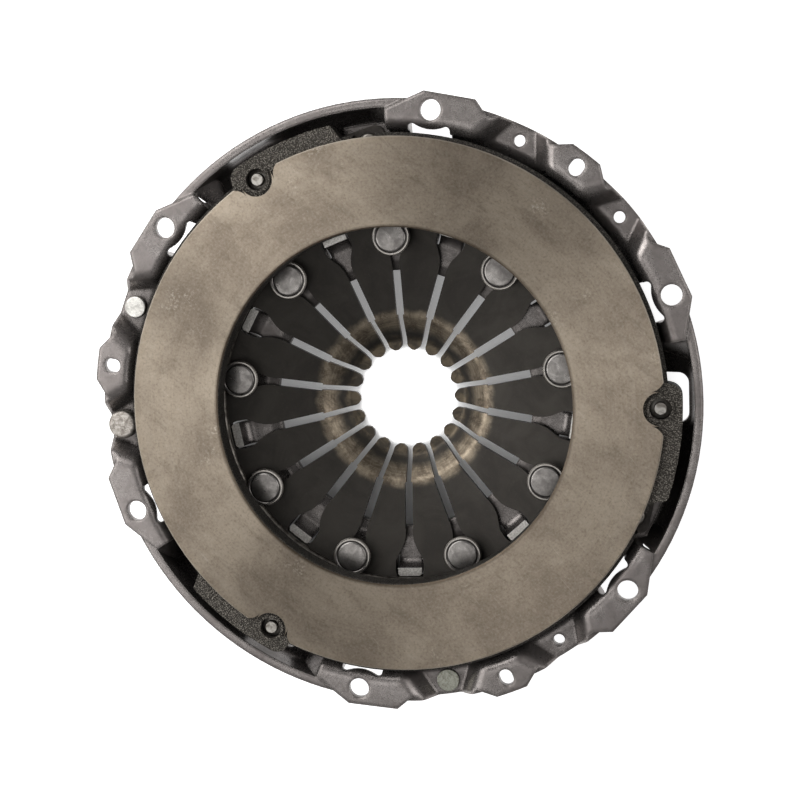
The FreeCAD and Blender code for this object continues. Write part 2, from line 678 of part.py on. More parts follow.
def pressure_plate():
    """Cast ring with a ground friction face, a bearing ridge behind and three lugs for the drive straps."""
    rim_top = face_height - cast_rim_drop
    ring = revolved([(face_inner_radius, plate_back + cast_back_chamfer),
                     (face_inner_radius, face_height - face_chamfer),
                     (face_inner_radius + face_chamfer, face_height),
                     (face_outer_radius - face_chamfer, face_height),
                     (face_outer_radius, face_height - face_chamfer),
                     (face_outer_radius, rim_top),
                     (cast_rim_radius, rim_top - cast_rim_slope),
                     (cast_rim_radius, plate_back, cast_edge_radius),
                     (face_inner_radius + cast_back_chamfer, plate_back)])
    body = fuse([ring] + pattern(lug(), lug_angles) + [ridge()])
    rivet_place = polar(strap_circle_radius, 0)
    boss = drum(counterbore_radius + boss_width, lug_top - boss_root, lug_top + boss_height, rivet_place)
    body = body.cut(fuse(pattern(lug_recess(), lug_angles)))
    body = fuse([body] + pattern(boss, lug_angles))
    counterbore = drum(counterbore_radius, lug_top - counterbore_depth, above, rivet_place)
    shank = drum(strap_shank_radius + seat_gap, below, above, rivet_place)
    relief = drum(relief_radius, below, leaf_top_at_cover + strap_head_height + relief_room, rivet_place)
    rim_notch = drum(relief_radius, below, above, rivet_place).cut(drum(face_outer_radius, below, above))
    cuts = pattern(counterbore.fuse(shank), lug_angles)
    cuts += pattern(relief.fuse(rim_notch), strap_foot_angles)
    return one_solid(body.cut(fuse(cuts)), "pressure_plate")


def ridge():
    """Ridge behind the casting, broken by air gaps, with a rounded tip just clear of the spring."""
    spring_top = fulcrum_height + (ridge_radius - fulcrum_radius) * cone_tan + spring_thickness / 2 / cone_cos
    tip = spring_top + running_gap
    half = ridge_width / 2
    foot = half + ridge_flank
    root = plate_back + cast_back_chamfer
    ring = revolved([(ridge_radius - foot, root),
                     (ridge_radius - half, tip, ridge_tip_radius),
                     (ridge_radius + half, tip + ridge_tip_rise, ridge_tip_radius),
                     (ridge_radius + foot, root)])
    inner = ridge_radius - ridge_width
    outer = ridge_radius + ridge_width
    side = ridge_gap_width / 2
    gap = prism([(inner, -side), (outer, -side), (outer, side), (inner, side)], below, plate_back)
    gap_angles = [first_slot_angle + i * 360.0 / ridge_gaps for i in range(ridge_gaps)]
    return ring.cut(fuse(pattern(gap, gap_angles)))


def spring_line():
    """Middle line of the spring's section, from its outer edge to the finger tips."""
    outer = fulcrum_height + (spring_outer_radius - fulcrum_radius) * cone_tan
    knee = fulcrum_height - (fulcrum_radius - knee_radius) * cone_tan
    return [(spring_outer_radius, outer), (knee_radius, knee, knee_bend),
            (knee_end_radius, knee - knee_drop, knee_bend),
            (spring_inner_radius, knee - knee_drop - tip_drop)]


def finger_slot():
    """Slot between two fingers with the window at its outer end, drawn at angle 0."""
    narrow = slot_width / 2
    wide = wide_slot_width / 2
    neck = neck_width / 2
    half = window_width / 2
    mouth = spring_inner_radius + tip_corner
    inside = mouth - tip_flare
    upper = [(inside, narrow + tip_flare), (mouth, narrow, tip_round), (slot_step_radius, narrow),
             (slot_step_radius, wide), (slot_neck_radius, wide), (slot_neck_radius, neck),
             (slot_neck_radius + neck_run, neck + neck_flare, neck_bend),
             (window_inner_radius - window_heel, half - window_heel_inset, window_bend),
             (window_inner_radius + window_side, half, window_bend),
             (window_outer_radius, half - window_end_inset, window_corner)]
    lower = [(c[0], -c[1]) + tuple(c[2:]) for c in reversed(upper)]
    return prism(upper + lower, below, above)


def diaphragm_spring():
    """Slotted conical spring with one finger between each two slots."""
    middle = spring_line()
    top = parallel(middle, spring_thickness / 2)
    bottom = parallel(middle, -spring_thickness / 2)
    disc = revolved(top + list(reversed(bottom)))
    return one_solid(disc.cut(fuse(pattern(finger_slot(), slot_angles))), "diaphragm_spring")


def fulcrum_ring(height):
    """Round wire ring that the spring rocks on."""
    return Part.makeTorus(fulcrum_radius, wire_radius, Vector(0, 0, height), Vector(0, 0, 1))


def fulcrum_rivet():
    """Shouldered rivet with a wide, slightly domed head over the front ring, at angle 0."""
    edge = head_seat + rivet_head_edge
    crown = edge + rivet_head_crown
    tail_face = floor_top - sheet - seat_gap
    tail = floor_top - sheet - rivet_tail_height
    shoulder = floor_top + seat_gap
    lip_top = edge + rivet_lip_round
    lip = rivet_head_radius - rivet_lip_width
    groove = lip - rivet_groove_width
    section = [(0.0, tail), (rivet_tail_radius - rivet_tail_taper, tail, rivet_tail_round),
               (rivet_tail_radius, tail_face), (rivet_shank_radius, tail_face),
               (rivet_shank_radius, shoulder), (rivet_shoulder_radius, shoulder),
               (rivet_shoulder_radius, head_seat), (rivet_head_radius, head_seat), (rivet_head_radius, edge),
               (rivet_head_radius - rivet_lip_round, lip_top), (lip, lip_top),
               (groove, lip_top - rivet_groove_depth),
               (groove - rivet_groove_width, edge + rivet_dome_share * rivet_head_crown, rivet_dome_bend),
               (0.0, crown)]
    rivet = revolved(section)
    rivet.translate(polar(rivet_circle_radius, 0))
    return rivet


def strap_chord():
    """Distance between the two rivets of a strap."""
    return 2 * strap_circle_radius * math.sin(math.radians(strap_span / 2))


def strap_leaf(index):
    """One leaf of a strap in its own frame: cover rivet at the origin, lug rivet on +X, index 0 on top."""
    length = strap_chord()
    flat = leaf_end + leaf_flat_margin
    top = [(-leaf_end, leaf_top_at_cover), (flat, leaf_top_at_cover, leaf_bend),
           (length - flat, leaf_top_at_lug, leaf_bend), (length + leaf_end, leaf_top_at_lug)]
    upper = parallel(top, index * leaf_thickness)
    lower = parallel(top, (index + 1) * leaf_thickness)
    sheet_strip = along(upper + list(reversed(lower)), leaf_width / 2)
    half = leaf_width / 2
    corner = leaf_corner
    plan = prism([(-leaf_end, -half, corner), (length + leaf_end, -half, corner),
                  (length + leaf_end, half, corner), (-leaf_end, half, corner)], below, above)
    hole = drum(strap_shank_radius + leaf_hole_gap, below, above)
    far_hole = drum(strap_shank_radius + leaf_hole_gap, below, above, Vector(length, 0, 0))
    return sheet_strip.common(plan).cut(hole.fuse(far_hole))


def seated_strap(leaf, lug_angle):
    """Leaf put between its cover rivet and its lug rivet."""
    start = polar(strap_circle_radius, lug_angle - strap_span)
    end = polar(strap_circle_radius, lug_angle)
    heading = math.degrees(math.atan2(end.y - start.y, end.x - start.x))
    placed = turned(leaf, heading)
    placed.translate(start)
    return placed


def cover_strap_rivet():
    """Rivet that holds a strap to its seat on the cover, at angle 0."""
    head_foot = leaf_top_at_cover + seat_gap
    head_top = head_foot + strap_head_height
    tail_face = seat_top - sheet - seat_gap
    tail = tail_face - strap_tail_height
    section = [(0.0, tail), (strap_tail_radius, tail, cover_tail_round), (strap_tail_radius, tail_face),
               (strap_shank_radius, tail_face), (strap_shank_radius, head_foot),
               (strap_head_radius, head_foot), (strap_head_radius, head_top, strap_head_round),
               (0.0, head_top)]
    rivet = revolved(section)
    rivet.translate(polar(strap_circle_radius, 0))
    return rivet


def plate_strap_rivet():
    """Rivet that holds a strap to a lug, with its upset end in the lug's counterbore, at angle 0."""
    top = face_height - lug_rivet_stand
    collar = lug_top - counterbore_depth + seat_gap
    collar_top = collar + collar_height
    collar_radius = counterbore_radius - shank_gap
    leaf_foot = leaf_top_at_lug - strap_pack - seat_gap
    tail = leaf_foot - strap_tail_height
    section = [(0.0, tail), (strap_tail_radius, tail, lug_tail_round), (strap_tail_radius, leaf_foot),
               (strap_shank_radius, leaf_foot), (strap_shank_radius, collar), (collar_radius, collar),
               (collar_radius, collar_top), (strap_shank_radius, collar_top + collar_slope),
               (strap_shank_radius, top - lug_rivet_chamfer), (strap_shank_radius - lug_rivet_chamfer, top),
               (0.0, top)]
    rivet = revolved(section)
    rivet.translate(polar(strap_circle_radius, 0))
    return rivet


def balance_rivet(head_radius, head_height):
    """Rivet set in a balance hole, with its head on the pocket floor, at angle 0."""
    floor = -pocket_depth
    back = floor - sheet
    crown = floor + head_height
    shank = balance_hole_radius - seat_gap
    tail = back - balance_tail_height
    swell = floor + balance_swell * head_height
    section = [(0.0, tail), (balance_tail_radius, tail, balance_tail_round),
               (balance_tail_radius, back - seat_gap), (shank, back - seat_gap), (shank, floor + seat_gap),
               (balance_foot_radius, floor + seat_gap), (head_radius, swell),
               (head_radius, crown, balance_crown * head_height), (0.0, crown)]
    rivet = revolved(section)
    rivet.translate(polar(balance_circle_radius, 0))
    return rivet


def assembly():
    """All nodes of the assembly, by name."""
    nodes = {
        "cover": cover(),
        "pressure_plate": pressure_plate(),
        "diaphragm_spring": diaphragm_spring(),
        "front_fulcrum_ring": fulcrum_ring(front_ring_height),
        "rear_fulcrum_ring": fulcrum_ring(rear_ring_height),
        "fulcrum_rivets": Part.makeCompound(pattern(fulcrum_rivet(), rivet_angles)),
        "cover_strap_rivets": Part.makeCompound(pattern(cover_strap_rivet(), strap_foot_angles)),
        "plate_strap_rivets": Part.makeCompound(pattern(plate_strap_rivet(), lug_angles)),
    }
    for number, lug in enumerate(lug_angles, 1):
        for index in range(strap_leaves):
            nodes["drive_strap_%d_leaf_%d" % (number, index + 1)] = seated_strap(strap_leaf(index), lug)
    for name, dowel, side, head_radius, head_height in balance_rivets:
        nodes[name] = turned(balance_rivet(head_radius, head_height), dowel + side * balance_angle)
    return nodes


os.makedirs("parts", exist_ok=True)
for node, shape in assembly().items():
    if not shape.isValid():
        raise ValueError("%s is not a valid shape" % node)
    shape.exportStep(os.path.join("parts", node + ".step"))
    print("%-24s solids %2d  volume %9.1f" % (node, len(shape.Solids), shape.Volume))
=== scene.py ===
# %% [markdown]
# # A clutch pressure plate
# The object is the cover assembly of a dry clutch: a pressed steel cover, a cast iron pressure plate with
# a ground friction face, a diaphragm spring with eighteen fingers, and the rivets, rings and straps that
# hold them together. The solids are already made to size. This lesson dresses them. It sets the camera,
# the floor and the lamps, gives every part its finish, and adds the pieces that bend when the plate moves.

# %% Load the solids
import math

import bmesh
import bpy
from mathutils import Matrix, Vector


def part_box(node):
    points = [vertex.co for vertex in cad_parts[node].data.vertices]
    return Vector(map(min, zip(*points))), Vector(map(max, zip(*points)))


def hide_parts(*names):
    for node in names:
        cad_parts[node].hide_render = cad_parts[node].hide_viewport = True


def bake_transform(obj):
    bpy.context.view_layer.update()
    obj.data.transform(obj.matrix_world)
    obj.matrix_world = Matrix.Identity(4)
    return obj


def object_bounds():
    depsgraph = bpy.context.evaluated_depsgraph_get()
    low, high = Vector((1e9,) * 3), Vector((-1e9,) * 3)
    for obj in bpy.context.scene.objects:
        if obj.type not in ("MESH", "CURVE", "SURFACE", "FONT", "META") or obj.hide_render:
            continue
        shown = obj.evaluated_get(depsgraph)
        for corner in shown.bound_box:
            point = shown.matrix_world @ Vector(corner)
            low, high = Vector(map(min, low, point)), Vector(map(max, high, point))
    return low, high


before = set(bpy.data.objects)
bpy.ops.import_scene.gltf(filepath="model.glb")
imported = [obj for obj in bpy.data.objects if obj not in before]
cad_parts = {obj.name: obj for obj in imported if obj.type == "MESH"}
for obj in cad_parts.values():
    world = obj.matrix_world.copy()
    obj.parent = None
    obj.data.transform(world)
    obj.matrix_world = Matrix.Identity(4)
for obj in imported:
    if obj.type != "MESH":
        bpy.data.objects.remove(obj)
solid_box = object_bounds()
print("nodes:", len(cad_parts), "box:", [tuple(round(c, 4) for c in corner) for corner in solid_box])

# %% [markdown]
# ## The camera
# The photo looks down on the friction face, about 13 degrees off the axis of rotation. Its place was
# worked out from the circles of the face: seen at a slant a circle becomes an ellipse, and the ellipse
# gives the angle and the distance. A camera is set by four things here: the direction it looks from, its
# distance, the turn of the picture about that direction, and a small shift that puts the face off the
# middle of the frame.

# %% Camera
FACE_HEIGHT = 0.0052
CAMERA_TILT = math.radians(12.79)
CAMERA_SIDE = math.radians(74.16)
PICTURE_UP = math.radians(127.02)
CAMERA_DISTANCE = 0.690
FILM_WIDTH_MM = 36
LENS_MM = 71.54
SHIFT_ACROSS = 0.010775
SHIFT_UP = 0.01091
NEAR_LIMIT = 0.01

towards_camera = Vector((
    math.sin(CAMERA_TILT) * math.cos(CAMERA_SIDE),
    math.sin(CAMERA_TILT) * math.sin(CAMERA_SIDE),
    math.cos(CAMERA_TILT),
))
up = Vector((math.cos(PICTURE_UP), math.sin(PICTURE_UP), 0))
right = up.cross(towards_camera).normalized()
upright = towards_camera.cross(right)

camera_data = bpy.data.cameras.new("camera")
camera_data.sensor_width = FILM_WIDTH_MM
camera_data.lens = LENS_MM
camera_data.shift_x = SHIFT_ACROSS
camera_data.shift_y = SHIFT_UP
camera_data.clip_start = NEAR_LIMIT
camera = bpy.data.objects.new("camera", camera_data)
bpy.context.scene.collection.objects.link(camera)
camera_turn = Matrix((right, upright, towards_camera)).transposed().to_4x4()
camera_place = Vector((0, 0, FACE_HEIGHT)) + CAMERA_DISTANCE * towards_camera
camera.matrix_world = Matrix.Translation(camera_place) @ camera_turn
bpy.context.scene.camera = camera
print("camera at", tuple(round(c, 3) for c in camera_place))

# %% [markdown]
# ## Nodes in a few words
# Every finish below is a tree of nodes. Wiring them by hand takes many lines, so a few helpers do it.
# `tone` turns a colour as one reads it from a picture (0 to 255) into the linear value that Blender works
# with. `Finish` starts a material and keeps its shader at hand. Its `add` makes a node and fills its
# inputs, where an input may be a number or another node's output. `rise` and `fade` turn a pattern into
# a share that grows or shrinks, and `mix` lays one colour over another by such a share.

# %% Node helpers
def tone(red, green, blue):
    """Linear colour from the 0 to 255 values that one reads from a picture."""
    def linear(value):
        share = value / 255
        return share / 12.92 if share <= 0.04045 else ((share + 0.055) / 1.055) ** 2.4
    return (linear(red), linear(green), linear(blue), 1.0)


class Finish:
    """A material under way: its node tree, its shader, and short words for common nodes."""

    def __init__(self, name, colour, metallic, roughness):
        self.material = bpy.data.materials.new(name)
        self.material.use_nodes = True
        self.material.diffuse_color = colour
        self.tree = self.material.node_tree
        self.shader = self.tree.nodes["Principled BSDF"]
        self.shader.inputs["Base Color"].default_value = colour
        self.shader.inputs["Metallic"].default_value = metallic
        self.shader.inputs["Roughness"].default_value = roughness
        self.place = self.add("TexCoord").outputs["Object"]

    def add(self, kind, *inputs, **settings):
        """Node of a kind with its inputs filled, in order; None leaves one as it is."""
        node = self.tree.nodes.new("ShaderNode" + kind)
        for setting, value in settings.items():
            setattr(node, setting, value)
        for socket, value in zip(node.inputs, inputs):
            self.fill(socket, value)
        return node

    def fill(self, socket, value):
        """Link an output to a socket, or write a number or colour on it."""
        if value is None:
            return
        if isinstance(value, bpy.types.NodeSocket):
            self.tree.links.new(value, socket)
        else:
            socket.default_value = value

    def maths(self, operation, *inputs):
        """Number worked out from other numbers."""
        return self.add("Math", *inputs, operation=operation).outputs[0]

    def plus(self, first, second):
        return self.maths("ADD", first, second)

    def minus(self, first, second):
        return self.maths("SUBTRACT", first, second)

    def times(self, first, second):
        return self.maths("MULTIPLY", first, second)

    def dot(self, first, second):
        """How far one direction runs along another; for unit lengths 1 is the same way, -1 the opposite."""
        return self.add("VectorMath", first, second, operation="DOT_PRODUCT").outputs["Value"]

    def length(self, vector):
        return self.add("VectorMath", vector, operation="LENGTH").outputs["Value"]

    def step(self, value, low, high, at_low, at_high):
        """Value rescaled from low..high to at_low..at_high, eased and held at the ends."""
        node = self.add("MapRange", value, low, high, at_low, at_high, interpolation_type="SMOOTHSTEP")
        return node.outputs[0]

    def rise(self, value, low, high, most=1.0):
        """Share that grows from nothing at low to most at high."""
        return self.step(value, low, high, 0.0, most)

    def fade(self, value, low, high, most=1.0):
        """Share that shrinks from most at low to nothing at high."""
        return self.step(value, low, high, most, 0.0)

    def mix(self, share, first, second):
        """Two colours laid over each other: share is how much of the second shows, 0 to 1."""
        node = self.tree.nodes.new("ShaderNodeMix")
        node.data_type = "RGBA"
        self.fill(node.inputs[0], share)
        self.fill(node.inputs[6], first)
        self.fill(node.inputs[7], second)
        return node.outputs[2]

    def between(self, share, first, second):
        """Number between two others by a share of 0 to 1."""
        node = self.tree.nodes.new("ShaderNodeMix")
        self.fill(node.inputs[0], share)
        self.fill(node.inputs[2], first)
        self.fill(node.inputs[3], second)
        return node.outputs[0]

    def noise(self, size, detail, rough, place=None, warp=0.0):
        """Cloudy pattern, 0 to 1, whose blotches are about size metres wide."""
        node = self.add("TexNoise")
        self.fill(node.inputs["Vector"], place or self.place)
        node.inputs["Scale"].default_value = 1 / size
        node.inputs["Detail"].default_value = detail
        node.inputs["Roughness"].default_value = rough
        node.inputs["Distortion"].default_value = warp
        return node.outputs["Fac"]

    def flat_place(self):
        """Place with its height taken out, so that only the way from the axis of rotation is left."""
        parts = self.add("SeparateXYZ", self.place)
        return self.add("CombineXYZ", parts.outputs[0], parts.outputs[1], 0.0).outputs[0]

    def radius(self):
        """Distance from the axis of rotation."""
        return self.length(self.flat_place())

    def height(self):
        return self.add("SeparateXYZ", self.place).outputs[2]

    def bump(self, height, distance, strength=1.0, under=None):
        """Bump whose full height is distance metres, on top of another normal if there is one."""
        node = self.add("Bump")
        node.inputs["Strength"].default_value = strength
        node.inputs["Distance"].default_value = distance
        self.fill(node.inputs["Height"], height)
        self.fill(node.inputs["Normal"], under)
        return node.outputs[0]

    def finish(self, colour, roughness, normal, metallic=None):
        """Wire the results to the shader and give the material back."""
        self.fill(self.shader.inputs["Base Color"], colour)
        self.fill(self.shader.inputs["Roughness"], roughness)
        self.fill(self.shader.inputs["Normal"], normal)
        self.fill(self.shader.inputs["Metallic"], metallic)
        return self.material


def dress(node_names, material):
    """Give CAD nodes their finish through their own material slots."""
    for name in node_names:
        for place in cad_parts[name].material_slots:
            place.material = material
    print(material.name, "on", ", ".join(node_names))


print("helpers ready")

# %% [markdown]
# ## Floor
# The photo has a plain white ground. The floor is one wide sheet under the finger tips, on which the part
# rests. Its rim is turned up into a low wall, which hides the horizon from a low camera. The paper glows,
# but only towards the camera and in reflections, which the Light Path node tells apart, so it looks white
# and still takes the part's shadow. Under the part it glows less, and least towards the bottom of the
# picture, so that the slots between the fingers look into shade as they do in the photo. The round opening
# in the middle shows white paper again. The view transform is Standard, so that a tone comes out of the
# render as it went in.

# %% Floor
FLOOR = solid_box[0].z
FLOOR_HALF_WIDTH = 10.0
BACKDROP_HEIGHT = 0.5
PAPER_GLOW = 0.80
OPENING_GLOW = 0.60
LEAST_SLOT_GLOW = 0.02
MOST_SLOT_GLOW = 0.24

bpy.context.scene.view_settings.view_transform = "Standard"
floor_mesh = bpy.data.meshes.new("floor")
sheet = bmesh.new()
floor_level = Matrix.Translation((0, 0, FLOOR))
bmesh.ops.create_grid(sheet, x_segments=1, y_segments=1, size=FLOOR_HALF_WIDTH, matrix=floor_level)
backdrop = bmesh.ops.extrude_edge_only(sheet, edges=sheet.edges[:])["geom"]
upper_edge = [point for point in backdrop if isinstance(point, bmesh.types.BMVert)]
bmesh.ops.translate(sheet, verts=upper_edge, vec=(0, 0, BACKDROP_HEIGHT))
sheet.to_mesh(floor_mesh)
sheet.free()
floor = bpy.data.objects.new("floor", floor_mesh)
bpy.context.scene.collection.objects.link(floor)

paper = Finish("floor_paper", tone(236, 236, 236), 0.0, 0.8)
path = paper.add("LightPath")
seen = paper.maths("MAXIMUM", path.outputs["Is Camera Ray"], path.outputs["Is Glossy Ray"])
seen = paper.maths("MAXIMUM", seen, path.outputs["Is Transmission Ray"])
up_the_picture = paper.dot(paper.place, tuple(up))
# painted shadow: under the part the paper glows less, and least towards the bottom of the picture
slot_glow_with_painted_shade = paper.step(up_the_picture, -0.065, 0.055, LEAST_SLOT_GLOW, MOST_SLOT_GLOW)
glow_with_painted_shadow = paper.step(paper.radius(), 0.080, 0.130, slot_glow_with_painted_shade, PAPER_GLOW)
under_opening = paper.fade(paper.radius(), 0.0210, 0.0240, OPENING_GLOW)
glow = paper.times(seen, paper.plus(glow_with_painted_shadow, under_opening))
paper.shader.inputs["Emission Color"].default_value = (1, 1, 1, 1)
paper.fill(paper.shader.inputs["Emission Strength"], glow)
floor_mesh.materials.append(paper.material)
print("floor at", round(FLOOR, 4))

# %% [markdown]
# ## Lamps
# Round grinding marks answer a lamp with two bright lobes, one on the lamp's side of the face and one
# opposite, like a bow tie. The photo's face is bright all along its left side, less bright on its right,
# and darker at the top and the bottom. So three soft lamps stand near the left side, where being near
# makes their own side the brighter one. One more stands farther off on the right, and a dim one high above
# gives the rivet heads and the flats a sheen. The room adds a little even light.

# %% Lamps
ROOM_LIGHT = 0.21

world = bpy.data.worlds.new("studio")
world.use_nodes = True
world.node_tree.nodes["Background"].inputs["Color"].default_value = (1, 1, 1, 1)
world.node_tree.nodes["Background"].inputs["Strength"].default_value = ROOM_LIGHT
bpy.context.scene.world = world


def softbox(name, picture_angle, lean, distance, size, power):
    """Square lamp that looks at the part: the angle is read in the picture, 0 to the right and 90 up."""
    data = bpy.data.lights.new(name, "AREA")
    data.shape = "SQUARE"
    data.size = size
    data.energy = power
    lamp = bpy.data.objects.new(name, data)
    bpy.context.scene.collection.objects.link(lamp)
    side = PICTURE_UP - math.pi / 2 + math.radians(picture_angle)
    tilt = math.radians(lean)
    away = Vector((math.sin(tilt) * math.cos(side), math.sin(tilt) * math.sin(side), math.cos(tilt)))
    lamp.location = distance * away
    lamp.rotation_euler = away.to_track_quat("Z", "Y").to_euler()


softbox("upper_left_softbox", picture_angle=132, lean=50, distance=0.75, size=0.52, power=2.6)
softbox("left_softbox", picture_angle=164, lean=51, distance=0.75, size=0.50, power=1.5)
softbox("lower_left_softbox", picture_angle=200, lean=52, distance=0.75, size=0.50, power=1.5)
softbox("right_softbox", picture_angle=8, lean=46, distance=1.3, size=0.8, power=4.0)
softbox("top_softbox", picture_angle=217, lean=13, distance=1.6, size=0.7, power=2.0)

# %% [markdown]
# ## The ground face
# The plate is one casting with two finishes. Its friction face is ground on a turning table, which leaves
# fine rings round the axis: a noise that is read along the radius alone draws them. Oil has left brown
# clouds and faint slanting smears, and for those the place is stretched before the noise reads it. Grain,
# dark stains, fine scratches and pale scuffs come on top. The edge of the bore is darker, and the chamfer
# round the outside is paler.

# %% Ground face
FACE_BORE = 0.0786
FACE_RIM = 0.112


def ring_noise(finish, width, detail, rough):
    """Noise that changes with the radius alone, so that it draws rings about width metres wide."""
    along_radius = finish.add("CombineXYZ", finish.radius(), 0.0, 0.0).outputs[0]
    return finish.noise(width, detail, rough, along_radius)


def stretched(finish, along, across, degrees):
    """Place stretched so that a pattern is drawn out along a direction in the plane of the face."""
    mapping = finish.add("Mapping", finish.place)
    mapping.inputs["Rotation"].default_value = (0, 0, math.radians(-degrees))
    scale = (across / along, 1, 1)
    return finish.add("VectorMath", mapping.outputs[0], scale, operation="MULTIPLY").outputs[0]


def ground_colour(iron, clouds, rings, grain):
    """Colour of the ground ring, from the broad clouds to the fine scratches and the two edges."""
    smears = iron.noise(0.005, 5.0, 0.65, stretched(iron, 0.024, 0.005, 182))
    broad_rings = ring_noise(iron, 0.006, 2.0, 0.5)
    scratches = iron.noise(0.0005, 2.0, 0.5, stretched(iron, 0.012, 0.0005, 168))
    stains = iron.noise(0.013, 6.0, 0.7, warp=0.9)
    colour = iron.mix(iron.rise(clouds, 0.36, 0.66), tone(160, 148, 132), tone(136, 124, 110))
    colour = iron.mix(iron.rise(smears, 0.48, 0.76, 0.42), colour, tone(112, 101, 88))
    colour = iron.mix(iron.rise(rings, 0.3, 0.8, 0.12), colour, tone(92, 84, 75))
    colour = iron.mix(iron.rise(broad_rings, 0.4, 0.7, 0.10), colour, tone(170, 161, 149))
    colour = iron.mix(iron.rise(grain, 0.50, 0.72, 0.34), colour, tone(174, 166, 154))
    colour = iron.mix(iron.fade(grain, 0.30, 0.50, 0.34), colour, tone(92, 80, 67))
    colour = iron.mix(iron.rise(scratches, 0.68, 0.78, 0.3), colour, tone(190, 182, 170))
    colour = iron.mix(iron.rise(stains, 0.60, 0.76, 0.40), colour, tone(98, 84, 70))
    scuffed = iron.rise(iron.noise(0.022, 4.0, 0.6), 0.60, 0.70)
    scuffs = iron.times(scuffed, iron.rise(grain, 0.52, 0.60, 0.5))
    colour = iron.mix(scuffs, colour, tone(198, 190, 178))
    bore_edge = iron.fade(iron.radius(), FACE_BORE, FACE_BORE + 0.0016, 0.6)
    colour = iron.mix(bore_edge, colour, tone(70, 57, 45))
    below_face = iron.fade(iron.height(), FACE_HEIGHT - 0.00012, FACE_HEIGHT - 0.00006, 0.6)
    chamfer = iron.times(below_face, iron.rise(iron.radius(), FACE_RIM - 0.002, FACE_RIM))
    return iron.mix(chamfer, colour, tone(176, 167, 154))


print("ground face ready")

# %% [markdown]
# ## The rough casting
# Away from the face the iron is as it came out of the sand: dark, grainy and dull. Below the top of the
# lugs, and so on their sides, painted shade makes it darkest. Height tells the two finishes apart, since
# nothing but the face reaches so high. On the face the grinding rings reflect light along one direction
# only. The shader has an anisotropic gloss for that, and its tangent is made to point away from the axis.

# %% Casting
RING_GLOSS = 0.88


def outward(finish):
    """Direction away from the axis of rotation."""
    return finish.add("VectorMath", finish.flat_place(), operation="NORMALIZE").outputs[0]


def sand_grains(finish, size):
    """Distance to the nearest of many scattered points, about size metres apart."""
    node = finish.add("TexVoronoi")
    finish.fill(node.inputs["Vector"], finish.place)
    node.inputs["Scale"].default_value = 1 / size
    return node.outputs["Distance"]


def rough_colour(iron, grains, lumps):
    """Colour of iron as cast: grains of sand, soot in the hollows, and painted shade below the top of the
    lugs.
    """
    colour = iron.mix(iron.rise(grains, 0.15, 0.6), tone(140, 134, 125), tone(66, 62, 57))
    colour = iron.mix(iron.rise(lumps, 0.45, 0.7, 0.5), colour, tone(46, 42, 37))
    # painted shade below the top of the lugs
    painted_shade_below_lugs = iron.fade(iron.height(), 0.0022, 0.0030, 0.65)
    return iron.mix(painted_shade_below_lugs, colour, tone(36, 34, 31))


def make_casting():
    iron = Finish("cast_iron", tone(138, 126, 112), 1.0, 0.5)
    iron.shader.inputs["Anisotropic"].default_value = RING_GLOSS
    iron.fill(iron.shader.inputs["Tangent"], outward(iron))
    clouds = iron.noise(0.040, 6.0, 0.65, warp=0.5)
    rings = ring_noise(iron, 0.0007, 3.0, 0.6)
    grain = iron.noise(0.0011, 4.0, 0.7)
    grains = sand_grains(iron, 0.0007)
    lumps = iron.noise(0.0022, 5.0, 0.65)

    machined = iron.rise(iron.height(), FACE_HEIGHT - 0.00085, FACE_HEIGHT - 0.00065)
    ground = ground_colour(iron, clouds, rings, grain)
    colour = iron.mix(machined, rough_colour(iron, grains, lumps), ground)
    ring_gloss = iron.step(rings, 0.2, 0.8, -0.04, 0.05)
    ground_gloss = iron.plus(iron.step(clouds, 0.3, 0.7, 0.42, 0.50), ring_gloss)
    gloss = iron.between(machined, 0.62, ground_gloss)
    metal = iron.between(machined, 0.55, 1.0)

    rough_height = iron.times(iron.plus(grains, lumps), iron.minus(1.0, machined))
    ring_height = iron.times(iron.plus(rings, grain), machined)
    normal = iron.bump(rough_height, 0.0005)
    normal = iron.bump(ring_height, 0.00002, 0.9, normal)
    return iron.finish(colour, gloss, normal, metal)


dress(["pressure_plate"], make_casting())

# %% [markdown]
# ## Coated sheet
# The cover is deep drawn from sheet and coated thinly against rust. Its colour leans to mauve grey. A slow
# noise varies it, dark marks and fine specks break it up, and a little rust shows. Painted shade darkens
# the hollows, in patches: the Ambient Occlusion node finds them, since it tells how much of the sky a
# point can see. The inner faces of the dish, which look up or towards the plate, get painted shade too,
# darker the deeper they lie.

# %% Sheet colour
HOLLOW_REACH = 0.014


def coated_colour(steel, film, marks, specks):
    """Thin coating with marks, specks and rust."""
    rust = steel.noise(0.011, 6.0, 0.7, warp=1.5)
    colour = steel.mix(steel.rise(film, 0.25, 0.75), tone(151, 145, 142), tone(127, 120, 117))
    colour = steel.mix(steel.rise(marks, 0.42, 0.70, 0.34), colour, tone(94, 88, 85))
    colour = steel.mix(steel.rise(specks, 0.58, 0.72, 0.22), colour, tone(180, 175, 171))
    colour = steel.mix(steel.fade(specks, 0.30, 0.44, 0.2), colour, tone(76, 71, 68))
    return steel.mix(steel.rise(rust, 0.66, 0.80, 0.5), colour, tone(76, 60, 50))


